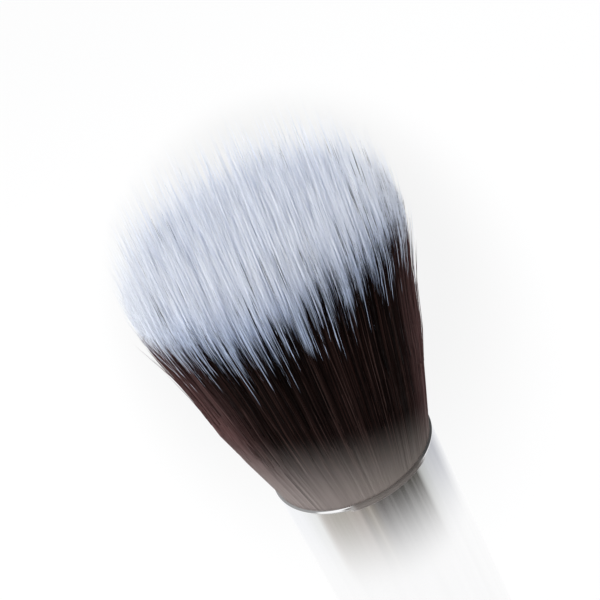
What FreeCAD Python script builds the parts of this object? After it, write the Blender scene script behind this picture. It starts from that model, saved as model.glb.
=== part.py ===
# A stippling brush for make-up, standing on the flat foot of its handle.
#
# A turned wooden handle carries a drawn metal ferrule, pushed over the handle's tenon down to its shoulder.
# A plug of glue fills the middle of the ferrule and holds the tenon and the roots of the tuft.
# The tuft has two kinds of fibre: a sleeve of short dark ones, and longer white ones that run up through it,
# spread above it and end in a low dome of pointed locks.
#
# Millimetres, +Z up along the brush, the origin at the centre of the foot.
# Round profiles are divided into short straight steps, whose points follow a curve.
import FreeCAD, Part
import math
import os

# Handle
handle_length = 95.0
foot_radius = 11.5
foot_edge_radius = 1.6
waist_radius = 7.4
waist_height = 32.0
shoulder_step = 0.25
shoulder_chamfer = 0.2
tenon_length = 14.0
tenon_clearance = 0.05
tenon_chamfer = 0.8
flare_steps = 3
edge_steps = 3

# Ferrule
rim_radius = 10.5
ferrule_length = 40.0
ferrule_wall = 0.4
lip_radius = 0.3
lip_overhang = 0.1
lip_steps = 6

# Glue plug
bond_gap = 0.02

# Tuft
root_depth = 12.0
tuft_length = 39.5
widest_radius = 16.6
widest_height = 30.0
mouth_clearance = 0.1
flare_power = 1.5
dome_power = 2.5
edge_power = 3.1
tuft_lean = 1.95
bundle_gap = 0.06

# Dark fibres
crown_height = 20.5
sleeve_root_share = 0.72
sleeve_crown_share = 0.925
ridge_count = 72
ridge_depth = 0.022
dark_tip_low = 25.0
dark_tip_high = 31.0

# White fibres
lock_length = 6.5
lock_height_spread = 1.6
lock_side_spread = 0.16
outer_lock_foot = 26.0
outer_lock_share = 0.945
tip_inset = 0.2
slimmest_lock = 0.62
smallest_ring = 4

# Places that follow from the sizes above
shoulder_z = handle_length
rim_z = shoulder_z + ferrule_length
tenon_top_z = shoulder_z + tenon_length
root_z = rim_z - root_depth
crown_z = rim_z + crown_height
outer_lock_z = rim_z + outer_lock_foot
wall_outer_radius = rim_radius - lip_overhang
bore_radius = wall_outer_radius - ferrule_wall
tenon_radius = bore_radius - tenon_clearance
shoulder_radius = wall_outer_radius + shoulder_step
mouth_radius = rim_radius - 2 * lip_radius - mouth_clearance

full_turn = 2 * math.pi
axis_base = FreeCAD.Vector(0, 0, 0)
axis_up = FreeCAD.Vector(0, 0, 1)


# Shared helpers

def turned(outline):
    """The solid made by turning a closed outline of (radius, height) points about the brush's axis."""
    points = [FreeCAD.Vector(radius, 0, z) for radius, z in outline]
    face = Part.Face(Part.makePolygon(points + [points[0]]))
    return face.revolve(axis_base, axis_up, 360)


def steps_of(first, last, count):
    """Evenly spaced values from the first to the last, both included."""
    return [first + (last - first) * i / count for i in range(count + 1)]


def rounded(centre, radius, first_degrees, last_degrees, count):
    """Outline points round an arc; angles are measured from the outward direction towards +Z."""
    points = []
    for degrees in steps_of(first_degrees, last_degrees, count):
        turn = math.radians(degrees)
        points.append((centre[0] + radius * math.cos(turn), centre[1] + radius * math.sin(turn)))
    return points


def chance(seed):
    """A repeatable scattered value from 0 to 1."""
    value = math.sin(seed * 12.9898 + 4.1414) * 43758.5453
    return value - math.floor(value)


# Handle

def swell(share):
    """A smooth rise from 0 to 1 that is level at both ends."""
    return share ** 2 * (3 - 2 * share)


def foot_flare():
    """Outline points from the foot's edge up to the waist, upright at both ends."""
    points = []
    for z in steps_of(foot_edge_radius, waist_height, flare_steps):
        share = (waist_height - z) / (waist_height - foot_edge_radius)
        points.append((waist_radius + (foot_radius - waist_radius) * swell(share), z))
    return points


def make_handle():
    """A turned handle: a flat flared foot, a slim waist, a straight taper up to the shoulder, and a tenon."""
    edge_centre = (foot_radius - foot_edge_radius, foot_edge_radius)
    outline = [(0, 0)] + rounded(edge_centre, foot_edge_radius, -90, 0, edge_steps)
    outline += foot_flare()[1:]
    outline += [
        (shoulder_radius, shoulder_z - shoulder_chamfer),
        (shoulder_radius - shoulder_chamfer, shoulder_z),
        (tenon_radius, shoulder_z),
        (tenon_radius, tenon_top_z - tenon_chamfer),
        (tenon_radius - tenon_chamfer, tenon_top_z),
        (0, tenon_top_z),
    ]
    return turned(outline)


# Ferrule

def make_ferrule():
    """A thin drawn tube whose edge at the tuft is rolled into a round lip."""
    lip_centre = (rim_radius - lip_radius, rim_z - lip_radius)
    outer_angle = math.degrees(math.acos((wall_outer_radius - lip_centre[0]) / lip_radius))
    inner_angle = math.degrees(math.acos((bore_radius - lip_centre[0]) / lip_radius))
    outline = [(bore_radius, shoulder_z), (wall_outer_radius, shoulder_z)]
    outline += rounded(lip_centre, lip_radius, -outer_angle, 360 - inner_angle, lip_steps)
    return turned(outline)


# Glue plug

def make_glue_plug():
    """The set glue between the handle's tenon and the roots of the fibres."""
    plug_radius = bore_radius - bond_gap
    return turned([(0, tenon_top_z), (plug_radius, tenon_top_z), (plug_radius, root_z), (0, root_z)])


# Tuft

def spread(z):
    """The tuft's outer radius at a height: straight in the ferrule, then flaring to its widest."""
    share = min(max((z - rim_z) / widest_height, 0.0), 1.0)
    return mouth_radius + (widest_radius - mouth_radius) * (1 - (1 - share) ** flare_power)


def dome_z(rho):
    """The height of the tuft's end over a point at this share of its radius."""
    rise = (1 - min(rho, 1.0) ** edge_power) ** (1 / dome_power)
    return rim_z + widest_height + (tuft_length - widest_height) * rise


def tuft_point(rho, angle, z, inset=0.0):
    """A point of the tuft: its share of the radius, its angle and its height, fanned out with the fibres."""
    radius = rho * spread(z) - inset
    lean = tuft_lean * max((z - rim_z) / tuft_length, 0.0)
    return FreeCAD.Vector(radius * math.cos(angle) + lean, radius * math.sin(angle), z)


def flat_face(points):
    return Part.Face(Part.makePolygon(points + [points[0]]))


def skin(lower, upper):
    """Flat faces between two closed rings of points."""
    count = len(lower)
    return [flat_face([lower[i - 1], lower[i], upper[i], upper[i - 1]]) for i in range(count)]


def spire(base, tip):
    """The sloping faces of one pointed lock, from its base's corners to its tip."""
    return [flat_face([base[i - 1], base[i], tip]) for i in range(len(base))]


def closed_solid(faces):
    """One solid from faces that meet edge to edge."""
    shell = Part.makeShell(faces)
    shell.sewShape()
    solid = Part.makeSolid(shell)
    if solid.Volume < 0:
        solid.reverse()
    return solid


def sleeve_share(z):
    """The share of the tuft's radius where the dark sleeve ends and the white fibres begin."""
    share = min(max((z - root_z) / (crown_z - root_z), 0.0), 1.0)
    return sleeve_root_share + (sleeve_crown_share - sleeve_root_share) * share


def ridged_ring(z):
    """The dark sleeve's outside at a height: a ridge for each lock, with a furrow between locks."""
    points = []
    for i in range(ridge_count):
        points.append(tuft_point(1 - ridge_depth, full_turn * i / ridge_count, z))
        points.append(tuft_point(1, full_turn * (i + 0.5) / ridge_count, z))
    return points


def plain_ring(rho, z, inset=0.0):
    return [tuft_point(rho, full_turn * i / ridge_count, z, inset) for i in range(ridge_count)]


def flare_levels():
    """Heights at which the flare is divided, closer together where it bends most."""
    above = (0.0, 0.2, 0.55, 1.0)
    return [root_z] + [rim_z + crown_height * share for share in above]


def make_dark_fibres():
    """The sleeve of short dark fibres: ridged outside, and a crown of pointed locks of mixed heights."""
    levels = flare_levels()
    outside = [ridged_ring(z) for z in levels]
    inside = [plain_ring(sleeve_share(z), z) for z in levels]
    faces = []
    for lower, upper in zip(outside, outside[1:]):
        faces += skin(lower, upper)
    for lower, upper in zip(inside, inside[1:]):
        faces += skin(upper, lower)
    for i in range(ridge_count):
        after = (i + 1) % ridge_count
        foot = outside[0]
        root_corners = [inside[0][i], inside[0][after], foot[2 * after], foot[2 * i + 1], foot[2 * i]]
        faces.append(flat_face(root_corners))
        crown = outside[-1]
        base = [inside[-1][i], crown[2 * i], crown[2 * i + 1], crown[2 * after], inside[-1][after]]
        tip_z = rim_z + dark_tip_low + (dark_tip_high - dark_tip_low) * chance(i)
        turn = full_turn * (i + 0.5 + lock_side_spread * (chance(i + 0.5) - 0.5)) / ridge_count
        tip = tuft_point(1, turn, tip_z)
        sides = spire(base, tip)
        faces += sides[1:]
        faces.append(flat_face([base[-1], base[0], tip]))
    return closed_solid(faces)


def lock_rings():
    """The white locks' rings, outside first: outer and inner share of the radius, and how many locks."""
    rings = []
    count = ridge_count
    outer = 1.0
    while count > smallest_ring:
        inner = outer - full_turn * outer / count
        rings.append((outer, inner, count))
        outer = inner
        if outer / count < slimmest_lock / ridge_count:
            count //= 2
    return rings


def lock_foot_point(rho, angle):
    """Where neighbouring white locks part from each other."""
    return tuft_point(rho, angle, dome_z(rho) - lock_length)


def white_share(z):
    """The white bundle's share of the tuft's radius, inside the sleeve and between its pointed locks."""
    if z <= crown_z:
        return sleeve_share(z)
    share = (z - crown_z) / (outer_lock_z - crown_z)
    return sleeve_crown_share + (outer_lock_share - sleeve_crown_share) * share


def make_white_fibres():
    """The long white fibres: a bundle inside the dark sleeve that ends in a dome of pointed locks."""
    levels = flare_levels() + [outer_lock_z]
    side = [plain_ring(white_share(z), z, bundle_gap) for z in levels]
    faces = [flat_face(side[0])]
    for lower, upper in zip(side, side[1:]):
        faces += skin(lower, upper)
    outer_edge = side[-1]
    lock = 0
    for outer, inner, count in lock_rings():
        inner_edge = [lock_foot_point(inner, full_turn * i / count) for i in range(count)]
        step = len(outer_edge) // count
        for i in range(count):
            lock += 1
            after = (i + 1) % count
            rim_corners = [outer_edge[(i * step + j) % len(outer_edge)] for j in range(step + 1)]
            turn = full_turn * (i + 0.5 + lock_side_spread * (chance(lock) - 0.5)) / count
            tip_rho = outer - tip_inset * (outer - inner)
            tip_z = dome_z(tip_rho) + lock_height_spread * (chance(lock + 0.5) - 0.5)
            tip = tuft_point(tip_rho, turn, tip_z)
            faces += spire(rim_corners + [inner_edge[after], inner_edge[i]], tip)
        outer_edge = inner_edge
    faces += spire(outer_edge, tuft_point(0, 0, dome_z(0)))
    return closed_solid(faces)


# Pieces

pieces = {
    "handle": make_handle,
    "ferrule": make_ferrule,
    "glue_plug": make_glue_plug,
    "dark_fibres": make_dark_fibres,
    "white_fibres": make_white_fibres,
}

os.makedirs("parts", exist_ok=True)
for name, make in pieces.items():
    shape = make()
    print(name, "valid" if shape.isValid() else "NOT VALID", round(shape.Volume, 1), "mm3")
    shape.exportStep("parts/" + name + ".step")
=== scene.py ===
"""The looks of a stippling brush: a tuft of fine fibres, a polished ferrule and a lacquered handle."""

import math

import bpy
import numpy as np
from mathutils import Matrix, Vector


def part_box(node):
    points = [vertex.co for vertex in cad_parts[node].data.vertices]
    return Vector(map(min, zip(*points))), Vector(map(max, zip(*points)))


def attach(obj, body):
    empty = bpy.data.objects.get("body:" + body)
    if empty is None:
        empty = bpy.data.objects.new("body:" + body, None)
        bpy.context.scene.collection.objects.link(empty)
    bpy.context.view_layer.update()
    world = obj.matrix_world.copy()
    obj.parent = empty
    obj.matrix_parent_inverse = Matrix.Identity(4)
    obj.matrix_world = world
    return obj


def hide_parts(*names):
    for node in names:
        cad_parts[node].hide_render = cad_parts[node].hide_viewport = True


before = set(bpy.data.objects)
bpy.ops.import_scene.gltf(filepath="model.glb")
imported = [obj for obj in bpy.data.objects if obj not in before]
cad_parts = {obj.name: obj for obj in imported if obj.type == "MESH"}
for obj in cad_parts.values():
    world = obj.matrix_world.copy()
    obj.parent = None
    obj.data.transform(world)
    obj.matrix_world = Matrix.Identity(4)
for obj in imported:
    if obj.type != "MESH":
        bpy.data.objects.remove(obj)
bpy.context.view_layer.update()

MM = 0.001
FULL_TURN = 2 * math.pi
GOLDEN_SHARE = (math.sqrt(5) - 1) / 2
rng = np.random.default_rng(833)

# Heights of the ferrule's two ends, in metres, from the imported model
RIM_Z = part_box("ferrule")[1].z
SHOULDER_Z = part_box("ferrule")[0].z

# The tuft's form, in millimetres above the ferrule's rim
MOUTH_RADIUS = 9.8
WIDEST_RADIUS = 16.6
WIDEST_HEIGHT = 30.0
TUFT_LENGTH = 39.5
FLARE_POWER = 1.5
DOME_POWER = 2.5
EDGE_POWER = 3.1

# The tuft leans towards +X, where its long fibres end lower
TUFT_LEAN = 1.95
LEAN_POWER = 1.35
LEAN_SLUMP = 1.6

# The fibres lie a little inside the plain flare between two heights
HOLLOW = 0.7
HOLLOW_FROM = 9.0
HOLLOW_TO = 31.0

# Where the dark fibres end on the outside of the tuft: degrees from the front, towards +X, and height
DARK_EDGE = [
    (-180, 24.0),
    (-95, 21.8),
    (-65, 23.6),
    (-50, 25.8),
    (-35, 26.4),
    (-20, 24.8),
    (-5, 25.3),
    (10, 27.0),
    (40, 27.0),
    (60, 25.2),
    (78, 22.3),
    (180, 24.0),
]

# Fibres, in millimetres
FIBRE_RADIUS = 0.055
TIP_RADIUS = 0.012
HIDDEN_ROOT = -1.5
EASE_FROM = 22.0
EASE_TO = 30.0
DYE_FADE = 0.9
DYED_ALL_ALONG = 99.0

# The share of its length at which a fibre starts to pale towards its tip
TIP_FROM = 0.55

# The turned middle of the tuft: its share of the radius, and its depth under the tuft's end
HEART_SHARE = 0.86
HEART_DEPTH = 10.0

# Ferrule and handle, in millimetres
RIM_RADIUS = 10.5
LIP_RADIUS = 0.3
LIP_OVERHANG = 0.1
FERRULE_WALL = 0.4
FOOT_RADIUS = 11.5
FOOT_EDGE_RADIUS = 1.6
WAIST_RADIUS = 7.4
WAIST_HEIGHT = 32.0
SHOULDER_STEP = 0.25
SHOULDER_CHAMFER = 0.2
TENON_GAP = 0.05
TENON_CHAMFER = 0.8

WHITE = (1.0, 1.0, 1.0)
# A near white, painted in where light washes out the tuft's sides and the fibres' tips
PAINTED_LIGHT_WHITE = (0.94, 0.945, 0.96)

# What the lip, the tube and the tube close under the rim mirror: share of a turn from the back, and tone
LIP_TONES = [
    (0.0, (0.30, 0.30, 0.30)),
    (0.29, (0.34, 0.34, 0.34)),
    (0.305, WHITE),
    (0.38, WHITE),
    (0.40, (0.22, 0.21, 0.20)),
    (0.62, (0.16, 0.16, 0.15)),
    (0.72, (0.06, 0.06, 0.06)),
    (0.96, (0.06, 0.06, 0.06)),
    (1.0, (0.30, 0.30, 0.30)),
]
TUBE_TONES = [
    (0.0, (0.97, 0.98, 1.0)),
    (0.18, (0.93, 0.94, 0.96)),
    (0.26, (0.82, 0.83, 0.82)),
    (0.285, (0.52, 0.49, 0.46)),
    (0.345, (0.38, 0.36, 0.32)),
    (0.427, (0.39, 0.35, 0.32)),
    (0.445, (0.18, 0.16, 0.14)),
    (0.467, (0.29, 0.26, 0.22)),
    (0.50, (0.07, 0.06, 0.055)),
    (0.60, (0.03, 0.026, 0.02)),
    (0.69, (0.035, 0.03, 0.02)),
    (0.713, (0.47, 0.48, 0.47)),
    (0.76, (0.56, 0.57, 0.59)),
    (0.833, (0.50, 0.51, 0.55)),
    (0.90, (0.78, 0.79, 0.81)),
    (1.0, (0.97, 0.98, 1.0)),
]
UNDER_RIM_TONES = [
    (0.0, (0.30, 0.30, 0.30)),
    (0.29, (0.36, 0.36, 0.36)),
    (0.40, (0.24, 0.24, 0.23)),
    (0.70, (0.12, 0.12, 0.11)),
    (0.96, (0.08, 0.08, 0.08)),
    (1.0, (0.30, 0.30, 0.30)),
]


# Node helpers

def new_material(name):
    """A material and its empty node tree."""
    material = bpy.data.materials.new(name)
    material.use_nodes = True
    tree = material.node_tree
    tree.nodes.clear()
    return material, tree


def maths(tree, operation, first, second=None):
    """A maths node on sockets or numbers; returns its output."""
    node = tree.nodes.new("ShaderNodeMath")
    node.operation = operation
    for slot, value in zip(node.inputs, (first, second)):
        if value is None:
            continue
        if isinstance(value, (int, float)):
            slot.default_value = value
        else:
            tree.links.new(value, slot)
    return node.outputs[0]


def linear(tree, value, slope, start):
    """A value times a slope, plus a start; each is a socket or a number."""
    return maths(tree, "ADD", maths(tree, "MULTIPLY", value, slope), start)


def vector_maths(tree, operation, vector, second=None):
    """A vector maths node on a socket and a fixed vector; a length or a dot product gives a number."""
    node = tree.nodes.new("ShaderNodeVectorMath")
    node.operation = operation
    tree.links.new(vector, node.inputs[0])
    if second is not None:
        node.inputs[1].default_value = second
    return node.outputs["Value" if operation in ("LENGTH", "DOT_PRODUCT") else "Vector"]


def ranged(tree, value, low, high, to_low=0.0, to_high=1.0):
    """A smooth step of a socket from one value to another; low and high may be sockets."""
    node = tree.nodes.new("ShaderNodeMapRange")
    node.interpolation_type = "SMOOTHSTEP"
    for slot, given in zip(node.inputs, (value, low, high, to_low, to_high)):
        if isinstance(given, (int, float)):
            slot.default_value = given
        else:
            tree.links.new(given, slot)
    return node.outputs[0]


def ramp(tree, value, stops):
    """A colour ramp over (position, colour) stops."""
    node = tree.nodes.new("ShaderNodeValToRGB")
    elements = node.color_ramp.elements
    while len(elements) < len(stops):
        elements.new(0.5)
    for element, (position, colour) in zip(elements, stops):
        element.position = position
        element.color = (*colour, 1)
    tree.links.new(value, node.inputs[0])
    return node.outputs[0]


def mixed(tree, share, first, second):
    """A mix of two colours, each a socket or a colour."""
    node = tree.nodes.new("ShaderNodeMix")
    node.data_type = "RGBA"
    for slot, value in ((node.inputs[0], share), (node.inputs[6], first), (node.inputs[7], second)):
        if isinstance(value, (int, float)):
            slot.default_value = value
        elif isinstance(value, tuple):
            slot.default_value = (*value, 1)
        else:
            tree.links.new(value, slot)
    return node.outputs[2]


def place_of(tree, kind="Object"):
    """The place of the shaded point on its object, in metres, or its direction in the sky."""
    return tree.nodes.new("ShaderNodeTexCoord").outputs[kind]


def parts(tree, vector):
    """The x, y and z sockets of a vector."""
    node = tree.nodes.new("ShaderNodeSeparateXYZ")
    tree.links.new(vector, node.inputs[0])
    return node.outputs


def height_above_rim(tree):
    """Millimetres above the rim."""
    above = maths(tree, "SUBTRACT", parts(tree, place_of(tree))[2], RIM_Z)
    return maths(tree, "DIVIDE", above, MM)


def millimetres_sideways(tree):
    """Millimetres towards +X."""
    return maths(tree, "DIVIDE", parts(tree, place_of(tree))[0], MM)


def turn_share(tree, vector):
    """The share of a turn about the brush of a place: 0 at the back, 0.25 at -X, 0.5 at the front."""
    place = parts(tree, vector)
    towards = maths(tree, "MULTIPLY", place[1], -1.0)
    angle = maths(tree, "ARCTAN2", place[0], towards)
    return maths(tree, "ADD", maths(tree, "DIVIDE", angle, FULL_TURN), 0.5)


def stretched_noise(tree, scale, detail=2.0):
    """Noise over object coordinates that are scaled separately along x, y and z."""
    noise = tree.nodes.new("ShaderNodeTexNoise")
    noise.inputs["Scale"].default_value = 1.0
    noise.inputs["Detail"].default_value = detail
    tree.links.new(vector_maths(tree, "MULTIPLY", place_of(tree), scale), noise.inputs["Vector"])
    return noise.outputs[0]


def attribute(tree, name):
    """A number that each point of the mesh carries."""
    node = tree.nodes.new("ShaderNodeAttribute")
    node.attribute_name = name
    return node.outputs["Fac"]


def principled(tree, colour, roughness):
    """A surface shader with its colour and roughness linked."""
    shader = tree.nodes.new("ShaderNodeBsdfPrincipled")
    tree.links.new(colour, shader.inputs["Base Color"])
    tree.links.new(roughness, shader.inputs["Roughness"])
    return shader


def add_bump(tree, shader, relief, strength, depth):
    """Gives a shader a bump of this depth, in millimetres."""
    bump = tree.nodes.new("ShaderNodeBump")
    bump.inputs["Strength"].default_value = strength
    bump.inputs["Distance"].default_value = depth * MM
    tree.links.new(relief, bump.inputs["Height"])
    tree.links.new(bump.outputs[0], shader.inputs["Normal"])


def glowing(tree, colour):
    """An emission of this colour at a strength of 1."""
    glow = tree.nodes.new("ShaderNodeEmission")
    tree.links.new(colour, glow.inputs["Color"])
    return glow


def finish_material(tree, shader):
    """Links a shader to a new output."""
    output = tree.nodes.new("ShaderNodeOutputMaterial")
    tree.links.new(shader.outputs[0], output.inputs["Surface"])


# Materials

def painted_rim_light_share(tree, height, sideways):
    """0 over most of the tuft's width, rising to 1 at its two sides as seen from the front, where a rim light
    is painted in.
    """
    middle = linear(tree, height, 0.03, 0.7)
    radius = linear(tree, height, 0.25, 10.3)
    outward = maths(tree, "ABSOLUTE", maths(tree, "SUBTRACT", sideways, middle))
    return ranged(tree, maths(tree, "DIVIDE", outward, radius), 0.56, 1.0)


def brown_with_painted_light(tree, shade, height, sideways, sides):
    """Dark brown, lighter and redder at the two sides with painted rim light, and a painted pale haze of
    light over the roots that is weaker towards +X.
    """
    brown = ramp(tree, shade, [
        (0.0, (0.003, 0.0010, 0.0008)),
        (0.56, (0.008, 0.0028, 0.0021)),
        (0.78, (0.019, 0.0075, 0.0058)),
        (0.93, (0.050, 0.028, 0.024)),
    ])
    # Painted rim light: a lighter, redder brown at the tuft's two sides
    painted_rim_red = mixed(tree, shade, (0.09, 0.040, 0.038), (0.17, 0.092, 0.087))
    brown = mixed(tree, sides, brown, painted_rim_red)
    # Painted haze of light over the roots: a pale grey-brown, lighter towards -X, fading with height and
    # reaching less high towards +X
    painted_haze = mixed(tree, ranged(tree, sideways, -9.0, 4.0), (0.30, 0.255, 0.237), (0.25, 0.216, 0.193))
    haze_height = linear(tree, sideways, linear(tree, sideways, 0.013, 0.37), height)
    return mixed(tree, ranged(tree, haze_height, 12.6, -1.5, 0.0, 0.95), brown, painted_haze)


def white_with_painted_light(tree, shade, height, sides):
    """A cool white, bluer low down, with painted light that pales it at the two sides and towards each
    fibre's tip.
    """
    white = ramp(tree, shade, [
        (0.0, (0.74, 0.785, 0.90)),
        (0.3, (0.78, 0.82, 0.925)),
        (1.0, (0.83, 0.865, 0.95)),
    ])
    white = mixed(tree, ranged(tree, height, 25.0, 34.0), (0.52, 0.61, 0.79), white)
    # Painted rim light: the white pales at the tuft's two sides
    white = mixed(tree, maths(tree, "MULTIPLY", sides, 0.8), white, PAINTED_LIGHT_WHITE)
    # Painted light: the fibres pale towards their tips high on the tuft
    pale = maths(tree, "MULTIPLY", attribute(tree, "along_tip"), ranged(tree, height, 29.0, 37.0))
    return mixed(tree, pale, white, PAINTED_LIGHT_WHITE)


def fibre_material():
    """Dyed fibres: dark brown up to each fibre's own dye line, and white above it, with painted light: a rim
    light at the sides, a pale haze over the roots and paler tips.
    """
    material, tree = new_material("dyed_fibre_with_painted_light")
    height = height_above_rim(tree)
    sideways = millimetres_sideways(tree)
    sides = painted_rim_light_share(tree, height, sideways)
    streaks = stretched_noise(tree, (2600, 2600, 90))
    shade = linear(tree, streaks, 0.15, maths(tree, "MULTIPLY", attribute(tree, "tone"), 0.85))
    brown = brown_with_painted_light(tree, shade, height, sideways, sides)
    white = white_with_painted_light(tree, shade, height, sides)
    dye_line = attribute(tree, "dye_line")
    low = maths(tree, "SUBTRACT", dye_line, DYE_FADE)
    high = maths(tree, "ADD", dye_line, DYE_FADE)
    colour = mixed(tree, ranged(tree, height, low, high), brown, white)
    shader = principled(tree, colour, ranged(tree, streaks, 0.3, 0.7, 0.4, 0.55))
    shader.inputs["Specular IOR Level"].default_value = 0.05
    finish_material(tree, shader)
    return material


def metal_material():
    """Polished aluminium with faint drawing lines along the tube; its lip has a painted grey haze at the
    front right, where it is also rougher.
    """
    material, tree = new_material("polished_ferrule")
    share = turn_share(tree, place_of(tree))
    on_lip = ranged(tree, height_above_rim(tree), -0.84, -0.80)
    front = maths(tree, "MULTIPLY", ranged(tree, share, 0.45, 0.47), on_lip)
    # Painted haze on the lip at the front right: a dull grey, with a rougher finish there
    painted_lip_haze = maths(tree, "MULTIPLY", ranged(tree, share, 0.64, 0.60), front)
    lines = stretched_noise(tree, (900, 900, 5), 2.0)
    wide_lines = stretched_noise(tree, (240, 240, 2), 1.0)
    colour = mixed(tree, lines, (0.92, 0.92, 0.925), (0.985, 0.985, 0.99))
    colour = mixed(tree, painted_lip_haze, colour, (0.56, 0.515, 0.495))
    polish = ranged(tree, lines, 0.3, 0.75, 0.045, 0.085)
    shader = principled(tree, colour, linear(tree, painted_lip_haze, 0.75, polish))
    shader.inputs["Metallic"].default_value = 1.0
    add_bump(tree, shader, linear(tree, lines, 0.25, wide_lines), 0.12, 0.05)
    finish_material(tree, shader)
    return material


def lacquer_material():
    """Near-black lacquer over turned wood, with a soft orange peel and the grain just showing."""
    material, tree = new_material("lacquered_wood")
    grain = stretched_noise(tree, (700, 700, 30), 4.0)
    peel = stretched_noise(tree, (420, 420, 300), 2.0)
    colour = ramp(tree, grain, [
        (0.3, (0.010, 0.009, 0.009)),
        (0.7, (0.024, 0.020, 0.019)),
    ])
    shader = principled(tree, colour, ranged(tree, peel, 0.3, 0.7, 0.16, 0.28))
    shader.inputs["Coat Weight"].default_value = 0.6
    shader.inputs["Coat Roughness"].default_value = 0.08
    add_bump(tree, shader, linear(tree, grain, 0.4, peel), 0.25, 0.03)
    finish_material(tree, shader)
    return material


def glue_material():
    """Set amber glue, slightly cloudy."""
    material, tree = new_material("set_glue")
    clouds = stretched_noise(tree, (400, 400, 400), 3.0)
    colour = mixed(tree, clouds, (0.42, 0.30, 0.12), (0.60, 0.47, 0.24))
    finish_material(tree, principled(tree, colour, ranged(tree, clouds, 0.3, 0.7, 0.35, 0.55)))
    return material


# The tuft's form

def spread(height):
    """The tuft's outer radius at a height above the rim."""
    share = np.clip(height / WIDEST_HEIGHT, 0, 1)
    flare = (WIDEST_RADIUS - MOUTH_RADIUS) * (1 - (1 - share) ** FLARE_POWER)
    hollow = np.clip((height - HOLLOW_FROM) / (HOLLOW_TO - HOLLOW_FROM), 0, 1)
    return MOUTH_RADIUS + flare - HOLLOW * np.sin(np.pi * hollow) ** 2


def dome(radial):
    """The height of the tuft's end over a point at this share of its radius."""
    rise = (1 - np.clip(radial, 0, 1) ** EDGE_POWER) ** (1 / DOME_POWER)
    return WIDEST_HEIGHT + (TUFT_LENGTH - WIDEST_HEIGHT) * rise


def slump(radial, turn):
    """How much lower the long fibres end on the side that the tuft leans to."""
    return LEAN_SLUMP * np.clip(radial * np.cos(turn), 0, 1) ** 2


def lean(height):
    """How far the tuft has leant towards +X at a height above the rim."""
    return TUFT_LEAN * np.clip(height / TUFT_LENGTH, 0, None) ** LEAN_POWER


def dark_edge(turn):
    """The height at which the dark fibres end at this turn about the tuft."""
    from_front = (np.degrees(turn) + 270) % 360 - 180
    angles, heights = zip(*DARK_EDGE)
    return np.interp(from_front, angles, heights)


def spaced(count):
    """Places for evenly packed fibres: shares from 0 to 1, and turns that are each a golden angle on."""
    share = (np.arange(count) + rng.random(count)) / count
    turn = FULL_TURN * ((rng.random() + GOLDEN_SHARE * np.arange(count)) % 1)
    return share, turn


def nearest_locks(radial, turn, count, low, high):
    """Scatters lock centres over a ring of the tuft and gives each fibre its nearest."""
    lock_radial = np.sqrt(rng.uniform(low ** 2, high ** 2, count))
    lock_turn = rng.uniform(0, FULL_TURN, count)
    fibres = np.stack([radial * np.cos(turn), radial * np.sin(turn)], axis=1)
    centres = np.stack([lock_radial * np.cos(lock_turn), lock_radial * np.sin(lock_turn)], axis=1)
    chosen = np.empty(len(radial), int)
    batch = 2000
    for start in range(0, len(radial), batch):
        part = slice(start, start + batch)
        gaps = ((fibres[part, None, :] - centres[None, :, :]) ** 2).sum(axis=2)
        chosen[part] = gaps.argmin(axis=1)
    return chosen, (lock_radial[chosen], lock_turn[chosen])


def fibre_paths(radial, turn, foot, tip, rings, waver, stray, locks=None, pull=0.0, ease=0.0):
    """Points along each fibre, in millimetres above the rim, fanned out with the tuft.

    radial and turn place a fibre in the tuft, and foot and tip are its end heights. Each fibre bends
    sideways by about waver, and a few by up to stray more. locks gives the place (radial, turn) of
    the lock that a tip is pulled towards. With ease, a fibre moves outward where the dark ones end.
    """
    count = len(radial)
    along = np.linspace(0, 1, rings)[None, :] ** 0.85
    height = foot[:, None] + (tip - foot)[:, None] * along
    freed = np.clip((height - EASE_FROM) / (EASE_TO - EASE_FROM), 0, 1)
    radius = (radial[:, None] + ease * freed ** 2 * (3 - 2 * freed)) * spread(height)
    x = radius * np.cos(turn)[:, None]
    y = radius * np.sin(turn)[:, None]
    reach = np.clip((height + 2) / (tip[:, None] + 2), 0, 1) ** 2
    if locks is not None:
        lock_radius = locks[0][:, None] * spread(height)
        x += pull * reach ** 2 * (lock_radius * np.cos(locks[1])[:, None] - x)
        y += pull * reach ** 2 * (lock_radius * np.sin(locks[1])[:, None] - y)
    bend = rng.normal(0, 1, (count, 2, 1)) * (waver + stray * rng.random((count, 1, 1)) ** 10)
    x += bend[:, 0] * reach + lean(height)
    y += bend[:, 1] * reach
    return np.stack([x, y, height], axis=2)


# Meshes of fibres

def new_object(name, data):
    """A new object in the scene."""
    thing = bpy.data.objects.new(name, data)
    bpy.context.scene.collection.objects.link(thing)
    return thing


def add_numbers(mesh, name, numbers):
    """Gives each point of a mesh a number under this name."""
    layer = mesh.attributes.new(name, "FLOAT", "POINT")
    layer.data.foreach_set("value", numbers.astype(np.float32))


def bake_map(mesh, count, rings):
    """Gives each fibre a cell of its own in the bake's map: three strips side by side, and its root's end."""
    edges = [((j + 0.1) / 3, (j + 0.9) / 3) for j in range(3)]
    top = 0.9
    length = top / (rings - 1)
    strips = []
    for k in range(rings - 2):
        low, high = k * length, (k + 1) * length
        for left, right in edges:
            strips.append([(left, low), (right, low), (right, high), (left, high)])
    ends = [[(left, top - length), (right, top - length), ((left + right) / 2, top)] for left, right in edges]
    ends.append([(0.1, 0.92), (0.9, 0.92), (0.5, 0.98)])
    across = math.ceil(math.sqrt(count))
    cells = np.stack([np.arange(count) % across, np.arange(count) // across], axis=1)[:, None, :]
    strip_places = (cells + np.array(strips).reshape(1, -1, 2)) / across
    end_places = (cells + np.array(ends).reshape(1, -1, 2)) / across
    layer = mesh.uv_layers.new(name="OFBake")
    places = np.concatenate([strip_places.reshape(-1, 2), end_places.reshape(-1, 2)])
    layer.data.foreach_set("uv", places.astype(np.float32).ravel())


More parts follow.
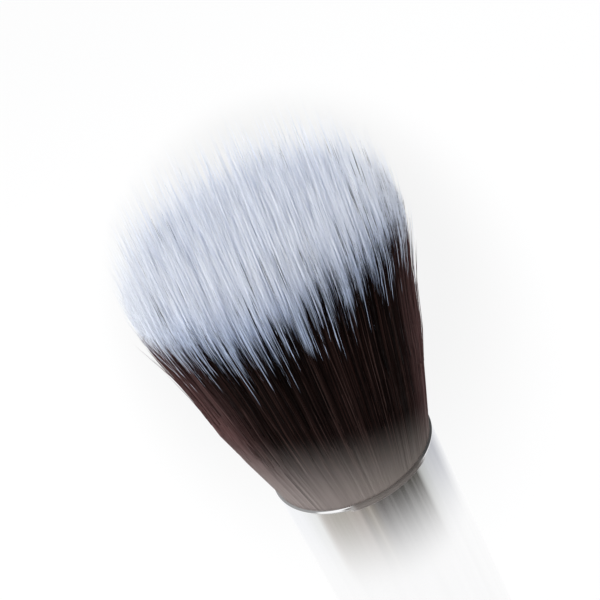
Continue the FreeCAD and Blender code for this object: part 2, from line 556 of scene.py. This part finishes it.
def fibre_points(paths, thickness, tone, taper_from):
    """The corners of each fibre's rings, three to a ring, and its tip, in metres."""
    count, rings, _ = paths.shape
    tangents = np.gradient(paths, axis=1)
    tangents /= np.linalg.norm(tangents, axis=2, keepdims=True)
    twist = 50 * tone
    outward = np.stack([np.cos(twist), np.sin(twist), np.zeros(count)], axis=1)[:, None, :]
    side = np.cross(tangents, outward)
    side /= np.linalg.norm(side, axis=2, keepdims=True)
    other = np.cross(tangents, side)
    along = np.linspace(0, 1, rings)
    taper = 1 - np.clip((along - taper_from) / (1 - taper_from), 0, 1) ** 1.4
    radii = (TIP_RADIUS + (thickness[:, None] - TIP_RADIUS) * taper[None, :])[:, :, None]
    corners = []
    for j in range(3):
        turn = FULL_TURN * j / 3
        corners.append(paths + radii * (math.cos(turn) * side + math.sin(turn) * other))
    tubes = np.stack(corners, axis=2)[:, :-1].reshape(count, (rings - 1) * 3, 3)
    points = np.concatenate([tubes, paths[:, -1:]], axis=1).reshape(-1, 3) * MM
    points[:, 2] += RIM_Z
    return points


def fibre_faces(count, rings):
    """The corner numbers of all the quads along the fibres, and of the triangles at their ends."""
    per_fibre = 3 * (rings - 1) + 1
    first = (np.arange(count) * per_fibre)[:, None]
    quads = []
    for k in range(rings - 2):
        for j in range(3):
            after = (j + 1) % 3
            quads.append([3 * k + j, 3 * k + after, 3 * k + 3 + after, 3 * k + 3 + j])
    last = 3 * (rings - 2)
    triangles = [[last + j, last + (j + 1) % 3, last + 3] for j in range(3)]
    triangles.append([2, 1, 0])
    quad_corners = (first[:, :, None] + np.array(quads)[None]).reshape(-1)
    triangle_corners = (first[:, :, None] + np.array(triangles)[None]).reshape(-1)
    return quad_corners, triangle_corners


def fibre_piece(name, paths, thickness, tone, dye_line, material, taper_from=0.6):
    """One mesh of closed three-sided fibres, each tapering to a point."""
    count, rings, _ = paths.shape
    points = fibre_points(paths, thickness, tone, taper_from)
    quad_corners, triangle_corners = fibre_faces(count, rings)
    quad_count = len(quad_corners) // 4
    triangle_count = len(triangle_corners) // 3
    mesh = bpy.data.meshes.new(name)
    mesh.vertices.add(len(points))
    mesh.vertices.foreach_set("co", points.astype(np.float32).ravel())
    mesh.loops.add(len(quad_corners) + len(triangle_corners))
    mesh.loops.foreach_set("vertex_index", np.concatenate([quad_corners, triangle_corners]).astype(np.int32))
    mesh.polygons.add(quad_count + triangle_count)
    starts = np.concatenate([np.arange(quad_count) * 4, quad_count * 4 + np.arange(triangle_count) * 3])
    mesh.polygons.foreach_set("loop_start", starts.astype(np.int32))
    mesh.polygons.foreach_set("use_smooth", np.ones(quad_count + triangle_count, bool))
    mesh.update(calc_edges=True)
    bake_map(mesh, count, rings)
    per_fibre = len(points) // count
    ring_share = np.concatenate([np.repeat(np.linspace(0, 1, rings)[:-1], 3), [1.0]])
    tip_share = np.clip((ring_share - TIP_FROM) / (1 - TIP_FROM), 0, 1)
    add_numbers(mesh, "tone", np.repeat(tone, per_fibre))
    add_numbers(mesh, "dye_line", np.repeat(dye_line, per_fibre))
    add_numbers(mesh, "along_tip", np.tile(tip_share, count))
    mesh.materials.append(material)
    piece = new_object(name, mesh)
    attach(piece, "root")
    return piece


def even_light(piece):
    """Turns the normals of a piece outward with the tuft's form, so that its fibres are evenly lit."""
    downward = 1.5
    mesh = piece.data
    points = np.empty(len(mesh.vertices) * 3)
    mesh.vertices.foreach_get("co", points)
    points = points.reshape(-1, 3) / MM
    height = points[:, 2] - RIM_Z / MM
    normals = np.stack([points[:, 0] - lean(height), points[:, 1], np.full(len(points), -downward)], axis=1)
    normals /= np.linalg.norm(normals, axis=1, keepdims=True)
    mesh.normals_split_custom_set_from_vertices(normals)


# The tuft's fibres

def dark_fibres(name, count, material):
    """Short dark fibres on the outside of the tuft, gathered in locks with pointed ends."""
    lock_count = 190
    lock_point = 5.0
    lock_reach = 0.9
    share, turn = spaced(count)
    radial = 1 - 0.14 * share ** 1.3
    lock, centres = nearest_locks(radial, turn, lock_count, 0.90, 1.0)
    gap = WIDEST_RADIUS * np.hypot(
        radial * np.cos(turn) - centres[0] * np.cos(centres[1]),
        radial * np.sin(turn) - centres[0] * np.sin(centres[1]),
    )
    tip = dark_edge(centres[1]) + rng.normal(0, 1.1, lock_count)[lock]
    tip += lock_point * (1 - np.clip(gap / lock_reach, 0, 1)) + rng.normal(0, 0.5, count)
    tip = np.clip(tip, 17, 34)
    foot = np.full(count, HIDDEN_ROOT)
    paths = fibre_paths(radial, turn, foot, tip, rings=5, waver=0.04, stray=0.9, locks=centres, pull=0.45)
    thickness = FIBRE_RADIUS * rng.uniform(0.7, 1.0, count)
    tone = rng.random(count)
    piece = fibre_piece(name, paths, thickness, tone, np.full(count, DYED_ALL_ALONG), material, 0.8)
    even_light(piece)
    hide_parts("dark_fibres")


def long_dark_fibres(name, count, material):
    """Single dark fibres and thin bunches whose points come out between the white ones."""
    bunches = count // 3
    bunch = rng.integers(0, bunches, count)
    inner = rng.random(bunches) < 0.25
    bunch_radial = np.where(inner, rng.uniform(0.74, 0.95, bunches), rng.uniform(0.975, 1.012, bunches))
    bunch_turn = rng.uniform(0, FULL_TURN, bunches)
    inner_tip = dome(bunch_radial) - rng.uniform(1.5, 5.5, bunches)
    outer_tip = dark_edge(bunch_turn) + rng.uniform(2.5, 6.0, bunches)
    bunch_tip = np.where(inner, inner_tip, outer_tip)
    radial = bunch_radial[bunch] + rng.normal(0, 0.004, count)
    turn = bunch_turn[bunch] + rng.normal(0, 0.005, count)
    tip = np.minimum(bunch_tip[bunch] + rng.normal(0, 0.6, count), dome(radial) - 0.3)
    foot = rng.uniform(14, 19, count)
    paths = fibre_paths(radial, turn, foot, tip, rings=5, waver=0.04, stray=0.15)
    thickness = FIBRE_RADIUS * rng.uniform(0.7, 1.0, count)
    tone = 0.4 * rng.random(count)
    piece = fibre_piece(name, paths, thickness, tone, np.full(count, DYED_ALL_ALONG), material, 0.8)
    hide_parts("dark_fibres")


def side_fibres(name, count, material):
    """Long fibres inside the sleeve of dark ones, dyed dark up to their dye line."""
    lock_count = 1200
    share, turn = spaced(count)
    radial = 0.935 - 0.235 * share ** 1.8
    lock, centres = nearest_locks(radial, turn, lock_count, 0.7, 0.97)
    tip = dome(radial) - slump(radial, turn) - 6.0
    tip += rng.normal(0, 0.4, lock_count)[lock] + np.minimum(rng.exponential(2.2, count), 9)
    foot = rng.uniform(6, 11, count)
    paths = fibre_paths(
        radial, turn, foot, tip, rings=5, waver=0.04, stray=1.0, locks=centres, pull=0.1, ease=0.03,
    )
    thickness = FIBRE_RADIUS * rng.uniform(0.6, 0.9, count)
    dye_line = 21.5 + rng.normal(0, 1.3, count)
    piece = fibre_piece(name, paths, thickness, rng.random(count), dye_line, material, 0.4)
    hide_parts("white_fibres")


def streak_fibres(name, count, material):
    """Single long fibres that lie on the dark ones: thin white streaks that run down into the dark."""
    bunches = count // 3
    bunch = rng.integers(0, bunches, count)
    turn = rng.uniform(0, FULL_TURN, bunches)[bunch] + rng.normal(0, 0.012, count)
    radial = 0.98 + rng.uniform(-0.02, 0.02, count)
    tip = dome(0.96) - 3.4 - slump(radial, turn) + rng.exponential(1.3, count)
    foot = rng.uniform(9, 13, count)
    paths = fibre_paths(radial, turn, foot, tip, rings=6, waver=0.05, stray=0.6)
    thickness = FIBRE_RADIUS * rng.uniform(0.45, 0.7, count)
    dye_line = dark_edge(turn) + 0.8 + rng.normal(0, 1.0, bunches)[bunch]
    dye_line -= np.minimum(rng.gamma(1.3, 1.5, count), 6)
    piece = fibre_piece(name, paths, thickness, rng.random(count), dye_line, material)
    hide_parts("white_fibres")


def dome_fibres(name, count, material):
    """The upper ends of the inner long fibres, which make the soft domed end."""
    lock_count = 1600
    share, turn = spaced(count)
    radial = HEART_SHARE * np.sqrt(share)
    lock, centres = nearest_locks(radial, turn, lock_count, 0.0, HEART_SHARE)
    tip = dome(radial) - slump(radial, turn) - 7.0
    tip += rng.normal(0, 0.4, lock_count)[lock] + np.minimum(rng.exponential(2.1, count), 11)
    foot = dome(radial) - 13.0
    paths = fibre_paths(
        radial, turn, foot, tip, rings=4, waver=0.05, stray=1.0, locks=centres, pull=0.1, ease=0.025,
    )
    thickness = FIBRE_RADIUS * rng.uniform(0.55, 0.9, count)
    dye_line = 17 + rng.normal(0, 1.5, count)
    piece = fibre_piece(name, paths, thickness, rng.random(count), dye_line, material, 0.2)
    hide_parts("white_fibres")


def make_tuft():
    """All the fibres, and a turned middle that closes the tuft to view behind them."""
    material = fibre_material()
    dark_fibres("dark_fibres_a", 4500, material)
    dark_fibres("dark_fibres_b", 4500, material)
    long_dark_fibres("dark_fibres_long", 1200, material)
    side_fibres("long_fibres_side_a", 8400, material)
    side_fibres("long_fibres_side_b", 8400, material)
    streak_fibres("long_fibres_streaks", 1100, material)
    dome_fibres("long_fibres_dome_a", 10400, material)
    dome_fibres("long_fibres_dome_b", 10400, material)
    heart = lathe("tuft_heart", heart_profile(), material, 96)
    for name, number in (("tone", 0.6), ("dye_line", 19.0), ("along_tip", 0.0)):
        add_numbers(heart.data, name, np.full(len(heart.data.vertices), number))
    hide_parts("white_fibres")


# Turned pieces

def lathe(name, profile, material, sides):
    """A smooth solid turned from (radius, z) points in millimetres; its ends lie on the axis or meet."""
    points = []
    faces = []
    rows = []
    for radius, z in profile:
        if radius == 0:
            rows.append([len(points)])
            points.append((0, 0, z * MM))
            continue
        rows.append(list(range(len(points), len(points) + sides)))
        for i in range(sides):
            turn = FULL_TURN * i / sides
            points.append((radius * math.cos(turn) * MM, radius * math.sin(turn) * MM, z * MM))
    pairs = list(zip(rows, rows[1:]))
    if profile[0][0] != 0:
        pairs.append((rows[-1], rows[0]))
    for lower, upper in pairs:
        for i in range(sides):
            after = (i + 1) % sides
            if len(lower) == 1:
                faces.append((lower[0], upper[after], upper[i]))
            elif len(upper) == 1:
                faces.append((lower[i], lower[after], upper[0]))
            else:
                faces.append((lower[i], lower[after], upper[after], upper[i]))
    mesh = bpy.data.meshes.new(name)
    mesh.from_pydata(points, [], faces)
    mesh.polygons.foreach_set("use_smooth", np.ones(len(faces), bool))
    mesh.set_sharp_from_angle(angle=math.radians(35))
    mesh.materials.append(material)
    piece = new_object(name, mesh)
    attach(piece, "root")
    return piece


def arc_points(centre, radius, first_degrees, last_degrees, steps):
    """Points along an arc of a profile."""
    points = []
    for i in range(steps + 1):
        turn = math.radians(first_degrees + (last_degrees - first_degrees) * i / steps)
        points.append((centre[0] + radius * math.cos(turn), centre[1] + radius * math.sin(turn)))
    return points


def heart_profile():
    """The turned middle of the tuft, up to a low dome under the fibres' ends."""
    rim = RIM_Z / MM
    profile = [(0, rim + HIDDEN_ROOT)]
    for height in np.linspace(HIDDEN_ROOT, 24, 12):
        profile.append((HEART_SHARE * float(spread(height)), rim + height))
    for radial in (0.82, 0.75, 0.6, 0.4, 0.2):
        profile.append((radial * float(spread(28.0)), rim + float(dome(radial)) - HEART_DEPTH))
    profile.append((0, rim + TUFT_LENGTH - HEART_DEPTH))
    return profile


def make_ferrule():
    """The drawn tube, with its edge rolled outward into a small round lip."""
    shoulder = SHOULDER_Z / MM
    rim = RIM_Z / MM
    outer = RIM_RADIUS - LIP_OVERHANG
    bore = outer - FERRULE_WALL
    centre = (RIM_RADIUS - LIP_RADIUS, rim - LIP_RADIUS)
    outer_angle = math.degrees(math.acos((outer - centre[0]) / LIP_RADIUS))
    inner_angle = math.degrees(math.acos((bore - centre[0]) / LIP_RADIUS))
    profile = [(bore, shoulder), (outer, shoulder)]
    profile += arc_points(centre, LIP_RADIUS, -outer_angle, 360 - inner_angle, 28)
    piece = lathe("ferrule_tube", profile, metal_material(), 192)
    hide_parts("ferrule")


def make_handle():
    """The turned handle: a flat foot, a flare to the waist, a taper to the shoulder, and the tenon."""
    shoulder = SHOULDER_Z / MM
    shoulder_radius = RIM_RADIUS - LIP_OVERHANG + SHOULDER_STEP
    tenon_radius = RIM_RADIUS - LIP_OVERHANG - FERRULE_WALL - TENON_GAP
    tenon_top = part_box("handle")[1].z / MM
    profile = [(0, 0)]
    centre = (FOOT_RADIUS - FOOT_EDGE_RADIUS, FOOT_EDGE_RADIUS)
    profile += arc_points(centre, FOOT_EDGE_RADIUS, -90, 0, 10)
    steps = 24
    for i in range(1, steps + 1):
        share = 1 - i / steps
        z = FOOT_EDGE_RADIUS + (WAIST_HEIGHT - FOOT_EDGE_RADIUS) * i / steps
        profile.append((WAIST_RADIUS + (FOOT_RADIUS - WAIST_RADIUS) * share ** 2 * (3 - 2 * share), z))
    profile += [
        (shoulder_radius, shoulder - SHOULDER_CHAMFER),
        (shoulder_radius - SHOULDER_CHAMFER, shoulder),
        (tenon_radius, shoulder),
        (tenon_radius, tenon_top - TENON_CHAMFER),
        (tenon_radius - TENON_CHAMFER, tenon_top),
        (0, tenon_top),
    ]
    piece = lathe("turned_handle", profile, lacquer_material(), 160)
    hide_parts("handle")


def finish_glue_plug():
    """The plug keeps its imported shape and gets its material."""
    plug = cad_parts["glue_plug"]
    plug.data.materials.clear()
    plug.data.materials.append(glue_material())


# Stage, light and camera

def floor_material():
    """Matt for the light, but near white for the camera and the metal, with a faint grey patch of painted
    shade.
    """
    # Painted shade: a faint grey patch on the floor behind the brush
    painted_shade_centre = (0.006, 0.35, 0)
    painted_shade_half_lengths = (0.071, 0.178, 1)
    material, tree = new_material("pale_floor")
    path = tree.nodes.new("ShaderNodeLightPath")
    seen = maths(tree, "MAXIMUM", path.outputs["Is Camera Ray"], path.outputs["Is Glossy Ray"])
    seen = maths(tree, "MAXIMUM", seen, path.outputs["Is Transmission Ray"])
    matt = tree.nodes.new("ShaderNodeBsdfDiffuse")
    matt.inputs["Color"].default_value = (0.87, 0.85, 0.82, 1)
    shifted = vector_maths(tree, "SUBTRACT", place_of(tree), painted_shade_centre)
    reach = vector_maths(tree, "LENGTH", vector_maths(tree, "DIVIDE", shifted, painted_shade_half_lengths))
    painted_shade = ranged(tree, reach, 1.43, 0.80)
    glow = glowing(tree, mixed(tree, painted_shade, WHITE, (0.87, 0.87, 0.868)))
    mix = tree.nodes.new("ShaderNodeMixShader")
    tree.links.new(maths(tree, "MULTIPLY", seen, 0.8), mix.inputs[0])
    tree.links.new(matt.outputs[0], mix.inputs[1])
    tree.links.new(glow.outputs[0], mix.inputs[2])
    finish_material(tree, mix)
    return material


def make_stage():
    """A pale floor that reads as white to the camera, with the brush's shadow and a patch of painted shade
    behind it.
    """
    half = 4.0
    corners = [(-half, -half, 0), (half, -half, 0), (half, half, 0), (-half, half, 0)]
    mesh = bpy.data.meshes.new("floor")
    mesh.from_pydata(corners, [], [(0, 1, 2, 3)])
    mesh.materials.append(floor_material())
    floor = new_object("floor", mesh)


def card_material():
    """Rings about the foot, from the inside: dark, white, striped, and then the tones of the lip."""
    material, tree = new_material("striped_card")
    place = place_of(tree)
    share = turn_share(tree, place)
    distance = vector_maths(tree, "LENGTH", place)
    fine = tree.nodes.new("ShaderNodeTexNoise")
    fine.noise_dimensions = "1D"
    fine.inputs["Scale"].default_value = 55.0
    fine.inputs["Detail"].default_value = 3.0
    tree.links.new(share, fine.inputs["W"])
    faint = ranged(tree, fine.outputs[0], 0.35, 0.7, 0.0, 0.08)
    stripes = mixed(tree, faint, ramp(tree, share, TUBE_TONES), (0.85, 0.83, 0.81))
    near_end = ranged(tree, share, 0.76, 0.86, 0.108, 0.092)
    near = ranged(tree, distance, near_end, maths(tree, "SUBTRACT", near_end, 0.01))
    colour = mixed(tree, near, WHITE, ramp(tree, share, UNDER_RIM_TONES))
    colour = mixed(tree, ranged(tree, distance, 0.135, 0.178), colour, stripes)
    colour = mixed(tree, ranged(tree, distance, 0.19, 0.24), colour, ramp(tree, share, LIP_TONES))
    finish_material(tree, glowing(tree, colour))
    return material


def make_reflector():
    """A striped card that only the metal sees, which gives the ferrule its darker middle band."""
    inner, outer, height = 0.016, 3.9, 0.002
    steps = 96
    points, faces = [], []
    for i in range(steps):
        turn = FULL_TURN * i / steps
        points.append((inner * math.cos(turn), inner * math.sin(turn), height))
        points.append((outer * math.cos(turn), outer * math.sin(turn), height))
    for i in range(steps):
        after = (i + 1) % steps
        faces.append((2 * i, 2 * i + 1, 2 * after + 1, 2 * after))
    mesh = bpy.data.meshes.new("striped_card")
    mesh.from_pydata(points, [], faces)
    mesh.materials.append(card_material())
    card = new_object("striped_card", mesh)
    card.visible_camera = False
    card.visible_diffuse = False
    card.visible_shadow = False
    card.visible_transmission = False


def make_world():
    """Soft light all round, brighter from the left and the front; the metal mirrors tones of its own."""
    towards_camera = (-0.30, -0.84, 0.45)
    world = bpy.data.worlds.new("studio")
    bpy.context.scene.world = world
    world.use_nodes = True
    tree = world.node_tree
    tree.nodes.clear()
    direction = place_of(tree, "Generated")
    leftward = ranged(tree, parts(tree, direction)[0], 0.7, -0.7)
    around = mixed(tree, leftward, (0.52, 0.55, 0.59), (1.12, 1.14, 1.18))
    frontal = ranged(tree, vector_maths(tree, "DOT_PRODUCT", direction, towards_camera), 0.3, 1.0)
    around = mixed(tree, frontal, around, (1.66, 1.70, 1.78))
    mirrored = ramp(tree, turn_share(tree, direction), LIP_TONES)
    path = tree.nodes.new("ShaderNodeLightPath")
    colour = mixed(tree, path.outputs["Is Glossy Ray"], around, mirrored)
    colour = mixed(tree, path.outputs["Is Camera Ray"], colour, WHITE)
    background = tree.nodes.new("ShaderNodeBackground")
    tree.links.new(colour, background.inputs["Color"])
    output = tree.nodes.new("ShaderNodeOutputWorld")
    tree.links.new(background.outputs[0], output.inputs["Surface"])


def make_lamp():
    """One broad lamp above the brush, to its left and a little behind it."""
    lamp = bpy.data.lights.new("broad_lamp", "AREA")
    lamp.shape = "DISK"
    lamp.size = 0.5
    lamp.energy = 1.5
    lamp.color = (0.97, 0.98, 1.0)
    lamp_object = new_object("broad_lamp", lamp)
    lamp_object.location = (-0.35, 0.15, 0.65)
    lamp_object.visible_glossy = False
    aim = Vector((0, 0, 0.15)) - lamp_object.location
    lamp_object.rotation_euler = aim.to_track_quat("-Z", "Y").to_euler()


def make_camera():
    """The photograph's camera, fitted to the ferrule's rim and the tuft's outline."""
    elevation = math.radians(28.17)
    roll = math.radians(26.36)
    focal_pixels = 1102.6
    frame_pixels = 600.0
    rim_pixel = (350.13, 448.81)
    distance = 136.96 * MM
    right = Vector((1, 0, 0))
    back = Vector((0, -math.cos(elevation), math.sin(elevation)))
    up = back.cross(right)
    level = Matrix((right, up, back))
    turn = Matrix.Rotation(roll, 3, "Z")
    to_camera = turn @ level
    half = frame_pixels / 2
    across = (rim_pixel[0] - half) / focal_pixels
    upward = -(rim_pixel[1] - half) / focal_pixels
    ray = Vector((across, upward, -1)).normalized()
    to_world = to_camera.transposed()
    place = Vector((0, 0, RIM_Z)) - to_world @ (ray * distance)
    data = bpy.data.cameras.new("camera")
    data.sensor_width = 36.0
    data.lens = focal_pixels * data.sensor_width / frame_pixels
    data.clip_start = 0.005
    data.clip_end = 20.0
    camera = new_object("camera", data)
    camera.matrix_world = Matrix.Translation(place) @ to_world.to_4x4()
    bpy.context.scene.camera = camera


make_camera()
make_tuft()
make_ferrule()
make_handle()
finish_glue_plug()
make_stage()
make_reflector()
make_world()
make_lamp()

bpy.context.scene.view_settings.view_transform = "Standard"
